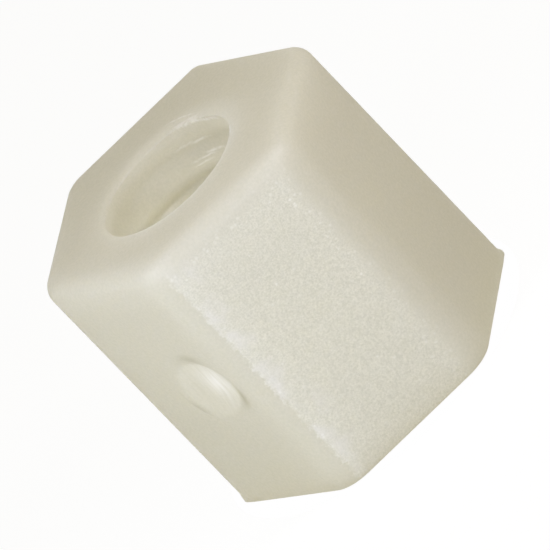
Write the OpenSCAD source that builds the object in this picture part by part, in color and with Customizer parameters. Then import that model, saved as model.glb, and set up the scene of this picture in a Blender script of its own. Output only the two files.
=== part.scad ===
// Hexagonal threaded standoff, moulded in natural nylon, female at both ends.
// It stands on the end that carries the mould flash, with the rounded end up.
// The hexagon has corners on +X and -X and flats on +Y and -Y.

/* [Body] */
// Width across the flats
across_flats = 6.35; // [6:0.05:10]
// Length between the two end faces
standoff_length = 6.35; // [4:0.05:25]
// Radius of the six long edges
side_edge_r = 0.8; // [0.5:0.05:1]
// Radius of the edge round the upper end
end_edge_r = 0.35; // [0.1:0.05:0.45]

/* [Threaded hole] */
// Diameter across the thread crests
thread_minor_d = 2.75; // [2.2:0.05:2.9]
// Diameter at the thread roots
thread_major_d = 3.505; // [3:0.005:3.7]
// Depth of the shallow dish round each mouth
mouth_depth = 0.1; // [0.05:0.01:0.3]
// Width that the dish leaves round the thread roots
mouth_margin = 0.04; // [0.02:0.01:0.1]

/* [Gate mark] */
// Diameter of the dished mark where the gate broke off
gate_d = 1.65; // [1:0.05:2]
// Depth of the dished mark
gate_depth = 0.12; // [0.05:0.01:0.3]
// Height of the middle of the mark above the lower end
gate_height = 3.1; // [1.2:0.05:3.1]
// Distance of the mark from the middle of its face
gate_offset = 0.4; // [0:0.05:0.5]
// Side face that the mark is on, counted from the one at 30 degrees
gate_face = 3; // [0:1:5]

/* [Mould flash] */
// How far the flash stands out from the two long edges that the mould parts on
flash_reach = 0.06; // [0.02:0.01:0.1]
// Height of the flash above the lower end
flash_height = 0.15; // [0.05:0.01:0.4]

/* [Hidden] */
$fn = 96;
sides = 6;
side_angle = 360 / sides;
half_side = side_angle / 2;
natural_nylon = "#d8d5c6";
// A cut runs this far past a surface that it opens
overcut = 1;
// The long edges stand proud of the flats by this much, so that their surfaces cross
blend = 0.005;
// The block is made too long by this much, and then faced off
facing = 0.005;
block_h = standoff_length + facing;
// The middles of the six corner radii stand on a smaller hexagon inside the body
core_corner_r = (across_flats / 2 - side_edge_r) / cos(half_side);
mouth_d = thread_major_d + 2 * mouth_margin;
// Sphere that leaves a mark of the named diameter and depth
gate_sphere_r = (pow(gate_d / 2, 2) + pow(gate_depth, 2)) / (2 * gate_depth);
gate_angle = half_side + gate_face * side_angle;

// Half of an upright outline, from the axis out to reach, with its upper corner rolled over
module half_outline(reach, height) {
    square([reach, height - end_edge_r]);
    square([reach - end_edge_r, height]);
    translate([reach - end_edge_r, height - end_edge_r])
        intersection() {
            circle(r = end_edge_r);
            square(2 * end_edge_r);
        }
}

// One pair of opposite flats
module flat_pair() {
    rotate([90, 0, 0])
        linear_extrude(height = core_corner_r, center = true) {
            half_outline(across_flats / 2, block_h);
            mirror([1, 0])
                half_outline(across_flats / 2, block_h);
        }
}

// One rounded long edge
module long_edge() {
    translate([core_corner_r, 0, 0])
        rotate_extrude()
            half_outline(side_edge_r + blend, block_h + blend);
}

module hex_block() {
    for (side = [0 : sides - 1])
        rotate([0, 0, side * side_angle])
            long_edge();
    for (side = [0 : sides / 2 - 1])
        rotate([0, 0, side * side_angle + half_side])
            flat_pair();
}

// Lip at the foot of a long edge, where nylon crept between the halves of the mould
module flash_lip() {
    translate([core_corner_r, 0, 0])
        cylinder(r = side_edge_r + flash_reach, h = flash_height);
}

module end_facing() {
    translate([0, 0, standoff_length])
        cylinder(r = across_flats, h = overcut);
}

module threaded_hole() {
    translate([0, 0, -overcut])
        cylinder(d = thread_minor_d, h = standoff_length + 2 * overcut);
    mouth_dish();
    translate([0, 0, standoff_length])
        mirror([0, 0, 1])
            mouth_dish();
}

// Shallow dish that leads the screw into the thread, at the lower mouth
module mouth_dish() {
    cylinder(d1 = mouth_d, d2 = thread_minor_d, h = mouth_depth);
}

module gate_mark() {
    rotate([0, 0, gate_angle])
        translate([across_flats / 2 - gate_depth + gate_sphere_r, gate_offset, gate_height])
            sphere(r = gate_sphere_r);
}

module standoff_body() {
    color(natural_nylon)
        difference() {
            union() {
                hex_block();
                flash_lip();
                mirror([1, 0, 0])
                    flash_lip();
            }
            end_facing();
            threaded_hole();
            gate_mark();
        }
}

standoff_body();
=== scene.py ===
"""Hexagonal threaded standoff, moulded in natural nylon, standing on its sharp-edged end.

One skin is wrapped right round the part: up the threaded hole, over the rounded end, down the
six sides, under the foot and back into the hole. Lengths are in millimetres, and are turned into
metres where the mesh is made. The hexagon has corners on +X and -X, the grained side faces -Y,
and the gate mark is on the next side round, at 210 degrees.
"""
import math

import bpy
import numpy as np
from mathutils import Matrix, Vector


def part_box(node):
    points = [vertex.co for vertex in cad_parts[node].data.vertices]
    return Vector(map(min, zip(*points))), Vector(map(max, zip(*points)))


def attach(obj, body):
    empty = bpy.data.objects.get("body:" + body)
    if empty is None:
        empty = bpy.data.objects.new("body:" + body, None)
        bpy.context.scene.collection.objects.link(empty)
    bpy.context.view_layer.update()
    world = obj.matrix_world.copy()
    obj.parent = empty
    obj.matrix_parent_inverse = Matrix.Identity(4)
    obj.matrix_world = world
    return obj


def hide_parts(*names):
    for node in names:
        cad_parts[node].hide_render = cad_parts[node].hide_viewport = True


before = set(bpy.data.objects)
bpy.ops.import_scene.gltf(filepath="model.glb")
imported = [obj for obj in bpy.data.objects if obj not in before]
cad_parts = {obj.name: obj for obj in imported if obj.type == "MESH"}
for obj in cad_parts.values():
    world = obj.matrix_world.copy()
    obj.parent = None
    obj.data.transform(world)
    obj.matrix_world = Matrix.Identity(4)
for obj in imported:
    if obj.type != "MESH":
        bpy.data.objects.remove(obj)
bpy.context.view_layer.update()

MM = 0.001
SIDES = 6
SIDE_ANGLE = 360 / SIDES
HALF_SIDE = SIDE_ANGLE / 2

# Body
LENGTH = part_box("standoff_body")[1].z / MM
ACROSS_FLATS = 6.35
DRAFT = 0.007           # the foot is wider than the rounded end by this share of the width
SIDE_EDGE_R = [0.8, 0.4, 0.65, 0.8, 0.8, 0.8]     # long edges, from +X round
END_EDGE_R = 0.35
FOOT_EDGE_R = 0.015

# Thread, right-handed, 32 turns to the inch
PITCH = 25.4 / 32
ROOT_R = 3.505 / 2
CREST_R = 2.75 / 2
ROOT_FLAT = PITCH / 8
FLANK = (ROOT_R - CREST_R) * math.tan(math.radians(30))
THREAD_SOFTNESS = 0.12   # how far each corner of the thread's section is rounded back
ROUNDED_SHARE = 0.45     # the most of one of the section's sides that goes into one corner
THREAD_START = 55        # degrees round from +X where a crest's upper edge meets the upper mouth

# The mouths have a small lip. Round one part of the upper mouth it is worn, so that it is rounder,
# deeper and wider there
LIP_DEPTH = 0.03
LIP_WIDTH = 0.15
WORN_DEPTH = 0.07
WORN_WIDTH = 0.2
WORN_WAY = 142           # the middle of the worn part, in degrees
WORN_REACH = (80, 45)    # degrees from that middle where the wear begins and where it is full

# The upper mouth was shaped by a plain ring, off the axis, in which the thread fades in
RING_R = 1.6
RING_OFF = 0.25          # from the axis to the ring's middle
RING_WAY = 220           # which way that is, in degrees
RING_DEPTH = 2.7         # where the thread has its full height, below the upper mouth

# Painted highlights, whitened lines along the thread where its crests catch the light: depth below
# the upper mouth at +X, the middle in degrees, half the length in degrees, half the width, and strength
PAINTED_THREAD_HIGHLIGHTS = [
    (0.15, 42, 34, 0.065, 1.0),
    (0.62, 72, 13, 0.04, 0.6),
    (0.65, 56, 13, 0.045, 0.8),
    (0.95, 50, 13, 0.045, 0.8),
    (1.01, 63, 16, 0.035, 0.7),
    (1.12, 67, 12, 0.035, 0.6),
]
# Painted highlights on the end face round the mouth: distance from the axis, middle in degrees,
# half length in degrees, how much further out it goes with each degree, half the width, and strength
PAINTED_FACE_HIGHLIGHTS = [(1.66, 61, 17, 0.0074, 0.04, 0.7), (1.52, -29, 8, -0.005, 0.04, 0.7)]
HIGHLIGHT_WANDER = 0.015     # how far any painted highlight strays from its line
HIGHLIGHTED_DEPTH = 2.0      # none is deeper below the upper mouth than this

# Gate mark, on the side whose middle is at 210 degrees
GATE_SIDE = 3
GATE_R = 1.65 / 2
GATE_DEPTH = 0.12
GATE_HEIGHT = 3.12
GATE_ALONG = 0.4         # from the side's middle towards the grained side
TORN_R = 0.72            # the torn floor of the mark, inside its steep upper edge
TORN_WAY = 35            # that edge's way from the mark's middle, in degrees
TORN_SPREAD = (-0.3, 0.5)    # cosines of the angle from there, where it begins and is full
GATE_FLOOR_R = TORN_R - 0.1
GATE_WALL_R = 0.97
GATE_LIP = 0.03          # ridge along its lower edge
GATE_LIP_R = GATE_R * 0.95
GATE_LIP_WIDTH = 0.07
GATE_LIP_WAY = 205
GATE_LIP_SPREAD = (0.3, 0.8)
# Nylon turns white where it tears, so the mark's floor is whitened all over. Its whitest spot is a
# painted highlight, where the steep upper edge of the mark catches the light
WHITE_EDGE = (TORN_R + 0.03, TORN_R - 0.05)    # where the torn floor's white ends and is full
TORN_WHITE = 0.2         # how white the torn floor is all over, where 1 is the whitest
PAINTED_HIGHLIGHT_AT = (0.3, 0.1)     # where it is whitest, along the side and up, from the mark's middle
PAINTED_HIGHLIGHT_SPREAD = (0.32, 0.45)

# Painted shade round the mark, darker and yellower colour where its slopes face away from the
# light: way round it in degrees, distance out, width, half length in degrees, and strength
GATE_PAINTED_SHADES = [
    (69, 0.95, 0.12, 20, 0.7),
    (-23, 0.88, 0.12, 18, 0.9),
    (25, 0.79, 0.04, 30, 0.5),
    (211, 0.79, 0.04, 18, 0.7),
]

# Ragged flash at the foot of the two long edges where the mould parts: the way that the edge
# faces in degrees, how far the flash stands out and how high it reaches
FLASHES = [(2, 0.055, 0.15), (182, 0.035, 0.22)]
FLASH_SPREAD = (24, 3)   # degrees from there where it begins and where it is full
FLASH_RAGGED = 0.12      # share of its reach that comes and goes along the edge
FLASH_WAVE = 0.9         # how fast that is, in radians of the wave to a degree

# Spark-eroded grain, on the side that faces -Y and a little way round both its edges
GRAINED_SIDE = 4
GRAIN_LEFT = 1.62        # from the side's middle, round the edge towards the gate mark
GRAIN_RIGHT = 1.66
GRAIN_TOP = 6.1

# Steps of the skin's points
ARC_STEPS = 12           # round a long edge
PLAIN_STEPS = 20         # along a plain side
GATE_STEPS = 56
GRAIN_STEPS = 60
ROLL_STEPS = 8           # over the edge of the rounded end
WALL_STEP = 0.055        # down the sides, in mm
EVEN_ROWS_END = 0.24     # the rows that are spaced evenly end above this height
FOOT_HEIGHTS = [0.2, 0.16, 0.12, 0.08, 0.045]    # closer rows below it, for the flash
FOOT_STEPS = 3           # round the edge of the foot
END_STEPS = 9            # across an end face
LIP_STEPS = 8            # down its lip
SHARP_ANGLE = 35         # an edge that turns by more degrees than this is shaded sharp

# Round floor of the studio, and the opening in it that the foot lamp shines through
OPENING_R = 3.75
FLOOR_R = 1500
FLOOR_CORNERS = 48

# The lamp in the hole
GLOW_R = 0.6

# Camera: its place, the directions that are right and up in its picture, and its focal length
CAMERA_PLACE = (0.5254, -183.1855, 81.6446)
CAMERA_RIGHT = (0.720824, -0.271372, -0.637785)
CAMERA_UP = (0.693113, 0.285803, 0.661749)
CAMERA_LENS = 654.5


def smooth(a, b, x):
    """0 at a, 1 at b, with soft ends."""
    t = np.clip((x - a) / (b - a), 0, 1)
    return t * t * (3 - 2 * t)


def turned_from(way, angle):
    """How far an angle in radians is turned from a way in degrees: -180 to 180 degrees."""
    return (np.degrees(angle) - way + 180) % 360 - 180


def hexagon_columns():
    """For each column of the skin: its point on the core hexagon, its edge radius, and its facing."""
    columns = []
    for side in range(SIDES):
        ends = []
        for corner in (side, side + 1):
            edge_r = SIDE_EDGE_R[corner % SIDES]
            out = (ACROSS_FLATS / 2 - edge_r) / math.cos(math.pi / SIDES)
            way = math.radians(SIDE_ANGLE * corner)
            ends.append(np.array([out * math.cos(way), out * math.sin(way), edge_r]))
        facing = math.radians(SIDE_ANGLE * side + HALF_SIDE)
        for step in range(ARC_STEPS):
            turn = math.radians(SIDE_ANGLE * (1 - step / ARC_STEPS))
            columns.append((*ends[0], facing - turn))
        steps = {GATE_SIDE: GATE_STEPS, GRAINED_SIDE: GRAIN_STEPS}.get(side, PLAIN_STEPS)
        for step in range(steps):
            columns.append((*(ends[0] + (ends[1] - ends[0]) * step / steps), facing))
    columns = np.array(columns)
    return columns[:, :2], columns[:, 2:3], columns[:, 3]


CORE, EDGE_R, FACING = hexagon_columns()
OUTWARD = np.stack([np.cos(FACING), np.sin(FACING)], 1)
COLUMNS = len(CORE)
OUTLINE = CORE + EDGE_R * OUTWARD
BEARING = np.unwrap(np.arctan2(OUTLINE[:, 1], OUTLINE[:, 0]))
RADIAL = np.stack([np.cos(BEARING), np.sin(BEARING)], 1)


def along_side(side):
    """Each column's distance round the outline from the middle of one side."""
    steps = np.linalg.norm(np.roll(OUTLINE, -1, 0) - OUTLINE, axis=1)
    walked = np.concatenate([[0], np.cumsum(steps)])
    girth = walked[-1]
    middle_way = math.radians(SIDE_ANGLE * side + HALF_SIDE)
    middle = ACROSS_FLATS / 2 * np.array([math.cos(middle_way), math.sin(middle_way)])
    nearest = np.argmin(np.linalg.norm(OUTLINE - middle, axis=1))
    past = (OUTLINE[nearest] - middle) @ [-math.sin(middle_way), math.cos(middle_way)]
    distance = walked[:-1] - walked[nearest] + past
    return (distance + girth / 2) % girth - girth / 2


def ring(inset, height):
    """One row of points round the outside, drawn in by inset, at a height."""
    widening = 1 + DRAFT * (1 - height / LENGTH)
    flat = CORE * widening + (EDGE_R - inset) * OUTWARD
    return np.column_stack([flat, np.full(COLUMNS, float(height))])


def thread_turn():
    """One pitch of the thread's section, upwards from a crest's upper edge: (rise, radius) pairs."""
    corners = [
        (0, CREST_R),
        (FLANK, ROOT_R),
        (FLANK + ROOT_FLAT, ROOT_R),
        (2 * FLANK + ROOT_FLAT, CREST_R),
    ]
    crest_flat = PITCH - 2 * FLANK - ROOT_FLAT
    around = [(-crest_flat, CREST_R)] + corners + [(PITCH, CREST_R)]
    turn = []
    for before, corner, after in zip(around, around[1:], around[2:]):
        before, corner, after = np.array(before), np.array(corner), np.array(after)
        length_in = np.linalg.norm(before - corner)
        length_out = np.linalg.norm(after - corner)
        reach = min(THREAD_SOFTNESS, length_in * ROUNDED_SHARE, length_out * ROUNDED_SHARE)
        cut_in = corner + (before - corner) * reach / length_in
        cut_out = corner + (after - corner) * reach / length_out
        turn += [cut_in, (cut_in + 2 * corner + cut_out) / 4, cut_out, (corner + after) / 2]
    return np.array(turn)


def worn_share(sign):
    """For each column, how far the mouth's lip is worn there. The lower mouth's isn't worn."""
    return smooth(*WORN_REACH, np.abs(turned_from(WORN_WAY, BEARING))) * (sign < 0)


def lip_depth(worn):
    return LIP_DEPTH + (WORN_DEPTH - LIP_DEPTH) * worn


def bore_columns():
    """The threaded hole, one column at a time: its points from the lower mouth to the upper one.

    Rows follow the helix. Row numbers are kept, so that neighbouring columns can be joined, and
    each column starts and ends at a rim.
    """
    turn = thread_turn()
    rows_per_turn = len(turn)
    turns = math.ceil(LENGTH / PITCH) + 2
    numbers = np.arange(-rows_per_turn, rows_per_turn * (turns + 1))
    rise = turn[numbers % rows_per_turn, 0] + PITCH * (numbers // rows_per_turn)
    thread = turn[numbers % rows_per_turn, 1]
    first_rise = LENGTH - PITCH * (turns - 1)
    upper_lip = lip_depth(worn_share(-1))
    columns = []
    for column in range(COLUMNS):
        from_start = BEARING[column] - math.radians(THREAD_START)
        height = first_rise + rise + PITCH * from_start / (2 * math.pi)
        flare = RING_R + RING_OFF * math.cos(BEARING[column] - math.radians(RING_WAY))
        radius = thread + (flare - thread) * np.clip(1 - (LENGTH - height) / RING_DEPTH, 0, 1)
        below = height - LIP_DEPTH
        above = LENGTH - upper_lip[column] - height
        inside = (below > 0) & (above > 0)
        low = np.flatnonzero(inside)[0]
        high = np.flatnonzero(inside)[-1]
        ends = []
        for last, outer, gap in ((low, low - 1, below), (high, high + 1, above)):
            share = gap[last] / (gap[last] - gap[outer])
            ends.append((
                radius[last] + (radius[outer] - radius[last]) * share,
                height[last] + (height[outer] - height[last]) * share,
            ))
        columns.append({
            "rows": numbers[low:high + 1],
            "radius": radius[low:high + 1],
            "height": height[low:high + 1],
            "ends": ends,
        })
    return columns, rows_per_turn


GATE_WAY = along_side(GATE_SIDE)
GRAIN_WAY = along_side(GRAINED_SIDE)


def from_gate(height):
    """Each column's place from the gate mark's middle: along, up, how far, and which way."""
    along, up = GATE_WAY - GATE_ALONG, height - GATE_HEIGHT
    return along, up, np.hypot(along, up), np.arctan2(up, along)


def gate_mark(height):
    """Dish of the gate mark, steep where the gate tore deepest, as an outward offset."""
    _, _, distance, way = from_gate(height)
    torn_side = smooth(*TORN_SPREAD, np.cos(way - math.radians(TORN_WAY)))
    lip_side = smooth(*GATE_LIP_SPREAD, np.cos(way - math.radians(GATE_LIP_WAY)))
    bowl = GATE_DEPTH * np.clip(1 - (distance / GATE_R) ** 2, 0, None)
    tray = GATE_DEPTH * smooth(GATE_WALL_R, GATE_FLOOR_R, distance)
    lip = GATE_LIP * lip_side * np.exp(-((distance - GATE_LIP_R) / GATE_LIP_WIDTH) ** 2)
    return lip - bowl - (tray - bowl) * torn_side


def gate_white_and_painted_light(height):
    """How far the nylon turned white where the gate tore off, with a painted highlight where the mark's
    steep upper edge catches the light. Below 0, it is painted shade round the mark.
    """
    along, up, distance, way = from_gate(height)
    inside = smooth(*WHITE_EDGE, distance)
    off_along = (along - PAINTED_HIGHLIGHT_AT[0]) / PAINTED_HIGHLIGHT_SPREAD[0]
    off_up = (up - PAINTED_HIGHLIGHT_AT[1]) / PAINTED_HIGHLIGHT_SPREAD[1]
    near_painted_highlight = np.exp(-off_along ** 2 - off_up ** 2)
    white = inside * (TORN_WHITE + (1 - TORN_WHITE) * near_painted_highlight)
    # Painted shade round the mark takes the value below 0
    for shade_way, out, width, spread, strength in GATE_PAINTED_SHADES:
        turned = turned_from(shade_way, way)
        shade = np.exp(-((distance - out) / width) ** 2 - (turned / spread) ** 2)
        white = white - strength * shade * (1 - inside)
    return white


def flash(height):
    """Outward offset of the flash."""
    offset = 0
    for way, reach, tall in FLASHES:
        from_edge = turned_from(way, FACING)
        ragged = 1 + FLASH_RAGGED * np.sin(from_edge * FLASH_WAVE)
        at_edge = smooth(*FLASH_SPREAD, np.abs(from_edge))
        offset = offset + reach * ragged * at_edge * smooth(tall, 0, height)
    return offset


def grain_edges(height):
    """Distances inside the grain's crisp left edge, and inside its faint right and upper edges."""
    return GRAIN_LEFT + GRAIN_WAY, np.minimum(GRAIN_RIGHT - GRAIN_WAY, GRAIN_TOP - height)


def outside_rows():
    """Rows from the edge of the upper face, down the sides and on to the edge of the foot."""
    rows = []
    for step in range(ROLL_STEPS + 1):
        turn = math.radians(90 - 90 * step / ROLL_STEPS)
        inset = END_EDGE_R * (1 - math.cos(turn))
        rows.append((inset, LENGTH - END_EDGE_R * (1 - math.sin(turn))))
    top = LENGTH - END_EDGE_R
    heights = list(np.arange(top - WALL_STEP, EVEN_ROWS_END, -WALL_STEP)) + FOOT_HEIGHTS
    rows += [(0, height) for height in heights]
    for step in range(FOOT_STEPS + 1):
        turn = math.radians(90 * step / FOOT_STEPS)
        rows.append((FOOT_EDGE_R * (1 - math.cos(turn)), FOOT_EDGE_R * (1 - math.sin(turn))))
    return rows


class Skin:
    """Points and faces of one closed skin, with the maps that its material reads."""

    def __init__(self):
        self.points, self.faces = [], []
        self.maps = {"grain_crisp": [], "grain_faint": [], "white_and_painted_light": []}

    def add_row(self, row, crisp=-1.0, faint=-1.0, white=0.0):
        first = len(self.points)
        self.points.extend(np.asarray(row, float))
        for values, value in zip(self.maps.values(), (crisp, faint, white)):
            values.extend(np.broadcast_to(value, len(row)))
        return np.arange(first, first + len(row))

    def join(self, upper, lower):
        for column in range(COLUMNS):
            following = (column + 1) % COLUMNS
            self.faces.append((upper[column], lower[column], lower[following], upper[following]))


def build_bore(skin):
    """The hole's wall. Gives back the rows of points at its lower and upper rims."""
    columns, rows_per_turn = bore_columns()
    rims = []
    for end in (0, 1):
        radius = np.array([column["ends"][end][0] for column in columns])
        height = np.array([column["ends"][end][1] for column in columns])
        row = np.column_stack([RADIAL * radius[:, None], height])
        rims.append(skin.add_row(row))
    numbered = []
    for index, column in enumerate(columns):
        row = np.column_stack([RADIAL[index] * column["radius"][:, None], column["height"]])
        numbered.append(dict(zip(column["rows"], skin.add_row(row))))
    lowest = min(min(known) for known in numbered) - rows_per_turn
    highest = max(max(known) for known in numbered) + rows_per_turn

    def corner(column, number):
        """The skin's point for a row, or the rim where that row lies beyond the mouth."""
        if column == COLUMNS:
            column, number = 0, number + rows_per_turn
        known = numbered[column]
        if number in known:
            return known[number]
        return rims[0][column] if number < min(known) else rims[1][column]

    for column in range(COLUMNS):
        for number in range(lowest, highest):
            quad = [
                corner(column, number),
                corner(column, number + 1),
                corner(column + 1, number + 1),
                corner(column + 1, number),
            ]
            quad = [point for i, point in enumerate(quad) if point != quad[i - 1]]
            if len(set(quad)) > 2:
                skin.faces.append(tuple(quad))
    return rims


def build_outside(skin):
    """The sides, with the rounded end above and the foot's sharp edge below."""
    rows = []
    for inset, height in outside_rows():
        row = ring(inset, height)
        row[:, :2] += OUTWARD * (gate_mark(height) + flash(height))[:, None]
        rows.append(skin.add_row(row, *grain_edges(height), gate_white_and_painted_light(height)))
    for upper, lower in zip(rows, rows[1:]):
        skin.join(upper, lower)
    return rows[0], rows[-1]


def build_end(skin, outer, rim, plane, sign):
    """One end face, from the outside in to the hole. The sign is -1 where its lip goes down."""
    outer_xy = np.array([skin.points[i][:2] for i in outer])
    rim_xy = np.array([skin.points[i][:2] for i in rim])
    rim_r = np.linalg.norm(rim_xy, axis=1)
    worn = worn_share(sign)
    width = LIP_WIDTH + (WORN_WIDTH - LIP_WIDTH) * worn
    lip_xy = RADIAL * (rim_r + width)[:, None]
    rows = [outer]
    shares = [(outer_xy, lip_xy, step / END_STEPS) for step in range(1, END_STEPS + 1)]
    shares += [
        (lip_xy, rim_xy, math.sin(math.pi / 2 * step / LIP_STEPS)) for step in range(1, LIP_STEPS)
    ]
    # A lip as moulded dips more and more steeply into the hole, and a worn one is a quarter round
    for start, end, share in shares:
        flat = start + (end - start) * share
        near = np.clip(1 - (np.linalg.norm(flat, axis=1) - rim_r) / width, 0, 1)
        fall = near ** 1.5 * (1 - worn) + (1 - np.sqrt(1 - near ** 2)) * worn
        height = plane + sign * lip_depth(worn) * fall
        rows.append(skin.add_row(np.column_stack([flat, height])))
    rows.append(rim)
    for before, after in zip(rows, rows[1:]):
        if sign < 0:
            skin.join(after, before)
        else:
            skin.join(before, after)


def build_standoff():
    skin = Skin()
    lower_rim, upper_rim = build_bore(skin)
    top_row, foot_row = build_outside(skin)
    build_end(skin, top_row, upper_rim, LENGTH, -1)
    build_end(skin, foot_row, lower_rim, 0, 1)
    mesh = bpy.data.meshes.new("standoff_skin")
    points = (np.array(skin.points) * MM).tolist()
    mesh.from_pydata(points, [], [[int(point) for point in face] for face in skin.faces])
    for name, values in skin.maps.items():
        mesh.attributes.new(name, "FLOAT", "POINT").data.foreach_set("value", values)
    mesh.shade_smooth()
    mesh.set_sharp_from_angle(angle=math.radians(SHARP_ANGLE))
    piece = bpy.data.objects.new("standoff_skin", mesh)
    bpy.context.scene.collection.objects.link(piece)
    return piece


def linear(colour):
    """An sRGB hex colour as the linear red, green, blue and alpha that the shader takes."""
    parts = [int(colour[i:i + 2], 16) / 255 for i in (1, 3, 5)]
    return [p / 12.92 if p <= 0.04045 else ((p + 0.055) / 1.055) ** 2.4 for p in parts] + [1]


def add_node(tree, kind, inputs=None, **settings):
    """A node with its settings. Each input is a value, a node that feeds it, or that node's socket."""
    node = tree.nodes.new(kind)
    for key, value in settings.items():
        setattr(node, key, value)
    for key, value in (inputs or {}).items():
        if isinstance(value, bpy.types.Node):
            value = next(socket for socket in value.outputs if socket.enabled)
        if isinstance(value, bpy.types.NodeSocket):
            tree.links.new(value, node.inputs[key])
        else:
            node.inputs[key].default_value = value
    return node


def new_material(name):
    """A material with no nodes yet, and its node tree."""
    material = bpy.data.materials.new(name)
    material.use_nodes = True
    material.node_tree.nodes.clear()
    return material, material.node_tree


def mark_painted_highlight(tree, marks, off, way, middle, reach, width, strength):
    """One more painted highlight, along the line where off is 0, added to the marks so far.

    It is strongest at its middle and reaches as far both ways, in degrees.
    """
    off = add_node(tree, "ShaderNodeMath", {0: off}, operation="ABSOLUTE")
    line = add_node(tree, "ShaderNodeMapRange", {
        "Value": off, "From Min": width, "From Max": 0.0, "To Max": strength,
    })
    away = add_node(tree, "ShaderNodeMath", {0: way, 1: math.radians(middle)}, operation="SUBTRACT")
    away = add_node(tree, "ShaderNodeMath", {0: away}, operation="ABSOLUTE")
    span = add_node(tree, "ShaderNodeMapRange", {
        "Value": away, "From Min": math.radians(reach), "From Max": math.radians(reach / 3),
    })
    highlight = add_node(tree, "ShaderNodeMath", {0: line, 1: span}, operation="MULTIPLY")
    return add_node(tree, "ShaderNodeMath", {0: marks, 1: highlight}, operation="MAXIMUM")


def painted_highlights(tree, in_mm, radius):
    """How far the colour is whitened by painted highlights in the hole and round its upper mouth."""
    place = add_node(tree, "ShaderNodeSeparateXYZ", {"Vector": in_mm})
    way = add_node(tree, "ShaderNodeMath", {
        0: place.outputs["Y"], 1: place.outputs["X"],
    }, operation="ARCTAN2")
    wander = add_node(tree, "ShaderNodeTexNoise", {"Vector": in_mm, "Scale": 5, "Detail": 2})
    wander = add_node(tree, "ShaderNodeMapRange", {
        "Value": wander, "From Min": 0.3, "From Max": 0.7,
        "To Min": -HIGHLIGHT_WANDER, "To Max": HIGHLIGHT_WANDER,
    })

    # In the hole, a line keeps one depth below a helix of the thread's pitch
    down = add_node(tree, "ShaderNodeMath", {
        0: way, 1: PITCH / (2 * math.pi), 2: LENGTH,
    }, operation="MULTIPLY_ADD")
    down = add_node(tree, "ShaderNodeMath", {0: down, 1: place.outputs["Z"]}, operation="SUBTRACT")
    down = add_node(tree, "ShaderNodeMath", {0: down, 1: wander}, operation="ADD")
    marks = 0.0
    for depth, middle, reach, width, strength in PAINTED_THREAD_HIGHLIGHTS:
        off = add_node(tree, "ShaderNodeMath", {0: down, 1: depth}, operation="SUBTRACT")
        marks = mark_painted_highlight(tree, marks, off, way, middle, reach, width, strength)
    in_hole = add_node(tree, "ShaderNodeMapRange", {
        "Value": radius, "From Min": 1.5, "From Max": 1.44,
    })
    marks = add_node(tree, "ShaderNodeMath", {0: marks, 1: in_hole}, operation="MULTIPLY")

    # On the end face, a line goes a little further out with each degree
    out = add_node(tree, "ShaderNodeMath", {0: radius, 1: wander}, operation="ADD")
    for distance, middle, reach, slope, width, strength in PAINTED_FACE_HIGHLIGHTS:
        start = slope * middle - distance
        off = add_node(tree, "ShaderNodeMath", {
            0: way, 1: -math.degrees(slope), 2: start,
        }, operation="MULTIPLY_ADD")
        off = add_node(tree, "ShaderNodeMath", {0: off, 1: out}, operation="ADD")
        marks = mark_painted_highlight(tree, marks, off, way, middle, reach, width, strength)

    # All of them are broken into dashes, and lie in or round the upper mouth
    broken = add_node(tree, "ShaderNodeTexNoise", {"Vector": in_mm, "Scale": 9, "Detail": 2})
    broken = add_node(tree, "ShaderNodeMapRange", {
        "Value": broken, "From Min": 0.35, "From Max": 0.55, "To Min": 0.4,
    })
    at_mouth = add_node(tree, "ShaderNodeMapRange", {
        "Value": place.outputs["Z"],
        "From Min": LENGTH - HIGHLIGHTED_DEPTH, "From Max": LENGTH - HIGHLIGHTED_DEPTH + 0.5,
    })
    marks = add_node(tree, "ShaderNodeMath", {0: marks, 1: at_mouth}, operation="MULTIPLY")
    return add_node(tree, "ShaderNodeMath", {0: marks, 1: broken}, operation="MULTIPLY")


def grain_cover(tree, in_mm, crisp, faint):
    """Where the grain is. Its left edge wanders by 0.05 mm, and the others fade over 0.5 mm."""
    ragged = add_node(tree, "ShaderNodeTexNoise", {"Vector": in_mm, "Scale": 9, "Detail": 3})
    ragged = add_node(tree, "ShaderNodeMapRange", {
        "Value": ragged, "From Min": 0.3, "From Max": 0.7, "To Min": -0.06, "To Max": 0.06,
    })
    left = add_node(tree, "ShaderNodeMath", {0: crisp, 1: ragged}, operation="ADD")
    inside_left = add_node(tree, "ShaderNodeMapRange", {"Value": left, "From Max": 0.08})
    inside_rest = add_node(tree, "ShaderNodeMapRange", {
        "Value": faint, "From Min": -0.1, "From Max": 0.45,
    }, interpolation_type="SMOOTHSTEP")
    return add_node(tree, "ShaderNodeMath", {0: inside_left, 1: inside_rest}, operation="MULTIPLY")


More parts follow.
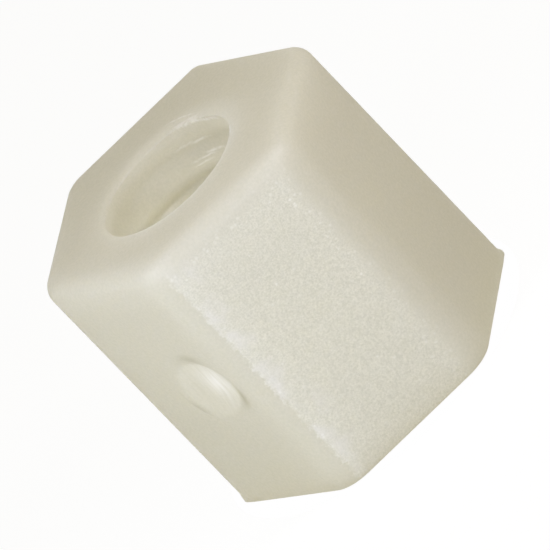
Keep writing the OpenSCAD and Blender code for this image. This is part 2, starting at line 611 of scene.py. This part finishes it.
def painted_glints(tree, in_mm, crisp, faint):
    """Painted glints 0.06 mm across: white specks that stand in for sparkles of light on the grain.
    They crowd along the grain's left edge, and fewer stand along the others.
    """
    cells = add_node(tree, "ShaderNodeTexVoronoi", {"Vector": in_mm, "Scale": 9})
    chance = add_node(tree, "ShaderNodeSeparateColor", {"Color": cells.outputs["Color"]})
    crowding = add_node(tree, "ShaderNodeMapRange", {
        "Value": crisp, "From Min": 0.06, "From Max": 0.24, "To Min": 0.8, "To Max": 0.03,
    })
    sparser = add_node(tree, "ShaderNodeMapRange", {
        "Value": faint, "From Min": 0.2, "From Max": 0.6, "To Min": 0.5, "To Max": 0.0,
    })
    crowding = add_node(tree, "ShaderNodeMath", {0: crowding, 1: sparser}, operation="MAXIMUM")
    chosen = add_node(tree, "ShaderNodeMath", {
        0: chance.outputs["Red"], 1: crowding,
    }, operation="LESS_THAN")
    size = add_node(tree, "ShaderNodeMapRange", {
        "Value": chance.outputs["Green"], "To Min": 0.25, "To Max": 0.6,
    })
    glint = add_node(tree, "ShaderNodeMapRange", {
        "Value": cells, "From Min": size, "From Max": 0.05, "To Max": 0.6,
    })
    return add_node(tree, "ShaderNodeMath", {0: glint, 1: chosen}, operation="MULTIPLY")


def natural_nylon():
    """Unfilled nylon 6/6 as it leaves the mould: milky, waxy and a little yellow where it is thick.

    The grained side was textured by spark erosion of the mould, and scatters light at its face,
    which makes it whiter. Nylon also turns white where the gate tore off. Light is painted into the
    colour too: a painted highlight in the gate mark, painted shade round it, painted glints on the
    grain, and painted highlights along the thread and round the upper mouth.
    """
    material, tree = new_material("natural_nylon")
    place = add_node(tree, "ShaderNodeTexCoord").outputs["Object"]
    in_mm = add_node(tree, "ShaderNodeVectorMath", {0: place, "Scale": 1 / MM}, operation="SCALE")
    crisp = add_node(tree, "ShaderNodeAttribute", attribute_name="grain_crisp").outputs["Fac"]
    faint = add_node(tree, "ShaderNodeAttribute", attribute_name="grain_faint").outputs["Fac"]
    # The gate mark's whitening, with its painted highlight, and the painted shade round it below 0
    torn_white_and_painted_light = add_node(tree, "ShaderNodeAttribute", attribute_name="white_and_painted_light").outputs["Fac"]
    across = add_node(tree, "ShaderNodeVectorMath", {0: in_mm, 1: (1, 1, 0)}, operation="MULTIPLY")
    radius = add_node(tree, "ShaderNodeVectorMath", {0: across}, operation="LENGTH")

    # The skin of a moulding is never quite even: faint flecks 0.05 mm across
    flecks = add_node(tree, "ShaderNodeTexNoise", {
        "Vector": in_mm, "Scale": 18, "Detail": 2, "Roughness": 0.6,
    })
    flecks = add_node(tree, "ShaderNodeMapRange", {"Value": flecks, "From Min": 0.3, "From Max": 0.7})
    body = add_node(tree, "ShaderNodeMix", {
        "Factor": flecks, "A": linear("#d5d3c5"), "B": linear("#dddacd"),
    }, data_type="RGBA")

    # The grain is craters 0.03 to 0.1 mm across
    grained = grain_cover(tree, in_mm, crisp, faint)
    craters = add_node(tree, "ShaderNodeTexNoise", {
        "Vector": in_mm, "Scale": 24, "Detail": 3, "Roughness": 0.7,
    })
    pitted = add_node(tree, "ShaderNodeMapRange", {
        "Value": craters, "From Min": 0.3, "From Max": 0.7,
    })
    frost = add_node(tree, "ShaderNodeMix", {
        "Factor": pitted, "A": linear("#d6d5c9"), "B": linear("#edebe1"),
    }, data_type="RGBA")
    colour = add_node(tree, "ShaderNodeMix", {
        "Factor": grained, "A": body, "B": frost,
    }, data_type="RGBA")

    # Painted glints on the grain: white specks for its sparkles of light
    glint = add_node(tree, "ShaderNodeMath", {
        0: painted_glints(tree, in_mm, crisp, faint), 1: grained,
    }, operation="MULTIPLY")

    # Frosty patches 0.6 mm across, near the left edge only
    clouds = add_node(tree, "ShaderNodeTexNoise", {"Vector": in_mm, "Scale": 1.6})
    clouds = add_node(tree, "ShaderNodeMapRange", {"Value": clouds, "From Min": 0.45, "From Max": 0.65})
    near_left = add_node(tree, "ShaderNodeMapRange", {
        "Value": crisp, "From Min": 0.1, "From Max": 0.8, "To Min": 0.7, "To Max": 0.0,
    })
    patches = add_node(tree, "ShaderNodeMath", {0: clouds, 1: near_left}, operation="MULTIPLY")
    patches = add_node(tree, "ShaderNodeMath", {0: patches, 1: grained}, operation="MULTIPLY")
    colour = add_node(tree, "ShaderNodeMix", {
        "Factor": patches, "A": colour, "B": linear("#ebe9e6"),
    }, data_type="RGBA")

    # Painted shade round the gate mark: darker, yellower colour where its slopes face away from the
    # light
    clear = add_node(tree, "ShaderNodeMapRange", {
        "Value": torn_white_and_painted_light, "From Min": 0.0, "From Max": -1.0, "To Max": 0.5,
    })
    colour = add_node(tree, "ShaderNodeMix", {
        "Factor": clear, "A": colour, "B": linear("#999570"),
    }, data_type="RGBA")

    # Torn nylon is white right at its face, and so are the painted glints and painted highlights, so
    # light goes less far in there
    streaks = add_node(tree, "ShaderNodeVectorMath", {0: in_mm, 1: (12, 12, 1.5)}, operation="MULTIPLY")
    streaks = add_node(tree, "ShaderNodeTexNoise", {"Vector": streaks, "Scale": 1, "Detail": 2})
    streaks = add_node(tree, "ShaderNodeMapRange", {
        "Value": streaks, "From Min": 0.35, "From Max": 0.6, "To Min": 0.6,
    })
    torn_white_and_painted_light = add_node(tree, "ShaderNodeMath", {
        0: torn_white_and_painted_light, 1: streaks,
    }, operation="MULTIPLY", use_clamp=True)
    # Painted highlights along the thread and round the upper mouth
    marks = painted_highlights(tree, in_mm, radius)
    white = add_node(tree, "ShaderNodeMath", {0: torn_white_and_painted_light, 1: glint}, operation="MAXIMUM")
    white = add_node(tree, "ShaderNodeMath", {0: white, 1: marks}, operation="MAXIMUM")
    colour = add_node(tree, "ShaderNodeMix", {
        "Factor": white, "A": colour, "B": linear("#fbfaf6"),
    }, data_type="RGBA")
    depth = add_node(tree, "ShaderNodeMapRange", {"Value": white, "To Min": 1.0, "To Max": 0.3})

    # The steel pin that formed the hole was polished, and the rest of the mould was not
    plain = add_node(tree, "ShaderNodeMapRange", {
        "Value": radius, "From Min": ROOT_R, "From Max": ROOT_R + 0.1, "To Min": 0.4, "To Max": 0.55,
    })
    matt = add_node(tree, "ShaderNodeMapRange", {"Value": grained, "To Max": 0.1})
    roughness = add_node(tree, "ShaderNodeMath", {0: plain, 1: matt}, operation="ADD")

    relief = add_node(tree, "ShaderNodeMath", {0: craters, 1: grained}, operation="MULTIPLY")
    bump = add_node(tree, "ShaderNodeBump", {"Height": relief, "Distance": 0.01 * MM})
    shader = add_node(tree, "ShaderNodeBsdfPrincipled", {
        "Base Color": colour,
        "Roughness": roughness,
        "IOR": 1.53,
        "Subsurface Weight": depth,
        "Subsurface Radius": (1.0, 1.0, 1.0),
        "Subsurface Scale": 2.2 * MM,
        "Normal": bump,
    })
    add_node(tree, "ShaderNodeOutputMaterial", {"Surface": shader})
    return material


def seen_straight(tree):
    """1 for what the camera sees, also by a reflection or through a clear thing, and 0 for the rest."""
    path = add_node(tree, "ShaderNodeLightPath")
    seen = add_node(tree, "ShaderNodeMath", {
        0: path.outputs["Is Camera Ray"], 1: path.outputs["Is Glossy Ray"],
    }, operation="MAXIMUM")
    return add_node(tree, "ShaderNodeMath", {
        0: seen, 1: path.outputs["Is Transmission Ray"],
    }, operation="MAXIMUM")


def studio_floor():
    """A white sweep. Seen by the camera it is mostly its own white, with the part's shadow on it."""
    material, tree = new_material("studio_white")
    share = add_node(tree, "ShaderNodeMath", {0: seen_straight(tree), 1: 0.9}, operation="MULTIPLY")
    paint = add_node(tree, "ShaderNodeBsdfDiffuse", {"Color": (0.8, 0.8, 0.8, 1)})
    glow = add_node(tree, "ShaderNodeEmission", {"Color": (1, 1, 1, 1), "Strength": 1.05})
    mixed = add_node(tree, "ShaderNodeMixShader", {0: share, 1: paint, 2: glow})
    add_node(tree, "ShaderNodeOutputMaterial", {"Surface": mixed})
    return material


def build_floor():
    """A round white floor, with an opening under the foot, as on a light table."""
    corners = []
    for radius in (OPENING_R, FLOOR_R):
        for step in range(FLOOR_CORNERS):
            way = 2 * math.pi * step / FLOOR_CORNERS
            corners.append((radius * MM * math.cos(way), radius * MM * math.sin(way), 0))
    faces = []
    for inner in range(FLOOR_CORNERS):
        following = (inner + 1) % FLOOR_CORNERS
        faces.append((inner, FLOOR_CORNERS + inner, FLOOR_CORNERS + following, following))
    mesh = bpy.data.meshes.new("floor")
    mesh.from_pydata(corners, [], faces)
    mesh.materials.append(studio_floor())
    floor = bpy.data.objects.new("floor", mesh)
    bpy.context.scene.collection.objects.link(floor)


def softbox(name, place, size, power, colour="#ffffff", glossy=True):
    """A square studio softbox, placed in millimetres, turned to the part, with its power in watts."""
    light = bpy.data.lights.new(name, "AREA")
    light.shape = "SQUARE"
    light.size = size * MM
    light.energy = power
    light.color = linear(colour)[:3]
    box = bpy.data.objects.new(name, light)
    box.location = Vector(place) * MM
    aim = Vector((0, 0, LENGTH / 2)) - Vector(place)
    box.rotation_euler = aim.to_track_quat("-Z", "Y").to_euler()
    box.visible_camera = False
    box.visible_glossy = glossy
    bpy.context.scene.collection.objects.link(box)


def bore_glow(name, height, power, colour="#ffffff"):
    """Part of the light that comes through the nylon into the hole, as a small lamp on its axis."""
    light = bpy.data.lights.new(name, "POINT")
    light.shadow_soft_size = GLOW_R * MM
    light.energy = power
    light.color = linear(colour)[:3]
    lamp = bpy.data.objects.new(name, light)
    lamp.location = (0, 0, height * MM)
    lamp.visible_camera = False
    lamp.visible_glossy = False
    bpy.context.scene.collection.objects.link(lamp)


def light_studio():
    """Softboxes round the part, the lamps that stand in for light through its walls, and the fill.

    The surroundings are white where they are seen, and a weak yellowish fill for all other light.
    """
    softbox("front", (-4, -28, 4.5), 8, 0.00188, "#d4dfff")
    softbox("left", (-13, -10, 16), 5, 0.00147, "#dbe1ff")
    softbox("right", (12.5, -8.5, 17), 5, 0.00134, "#f3f3ff")
    softbox("top", (2, 12, 22), 8, 0.00014, "#fff0c0")
    softbox("low_left", (-50, -30, 5), 20, 0.0064, "#fffdc8")
    softbox("low_right", (48, -36, 10), 20, 0.0013, "#ffdd88")
    softbox("back", (60, 500, 30), 300, 1.1, "#e8eeff", glossy=False)
    softbox("foot", (0, 0, -4), 5, 0.00011, glossy=False)
    bore_glow("bore_glow", 3.0, 0.000072)
    world = bpy.data.worlds.new("studio")
    bpy.context.scene.world = world
    world.use_nodes = True
    tree = world.node_tree
    tree.nodes.clear()
    fill = add_node(tree, "ShaderNodeBackground", {"Color": linear("#ffec99"), "Strength": 0.25})
    white = add_node(tree, "ShaderNodeBackground", {"Color": (1, 1, 1, 1), "Strength": 1.0})
    mixed = add_node(tree, "ShaderNodeMixShader", {0: seen_straight(tree), 1: fill, 2: white})
    add_node(tree, "ShaderNodeOutputWorld", {"Surface": mixed})


def place_camera():
    """A long lens 0.2 m away, rolled so that the part's axis points up and to the left."""
    camera = bpy.data.cameras.new("camera")
    camera.sensor_width = 36
    camera.lens = CAMERA_LENS
    camera.clip_start = 0.01
    camera.clip_end = 10
    rig = bpy.data.objects.new("camera", camera)
    right, up = Vector(CAMERA_RIGHT), Vector(CAMERA_UP)
    turn = Matrix((right, up, right.cross(up))).transposed().to_4x4()
    rig.matrix_world = Matrix.Translation(Vector(CAMERA_PLACE) * MM) @ turn
    bpy.context.scene.collection.objects.link(rig)
    bpy.context.scene.camera = rig


place_camera()
build_floor()
light_studio()

standoff = build_standoff()
standoff.data.materials.append(natural_nylon())
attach(standoff, "root")
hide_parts("standoff_body")

bpy.context.scene.view_settings.view_transform = "Standard"
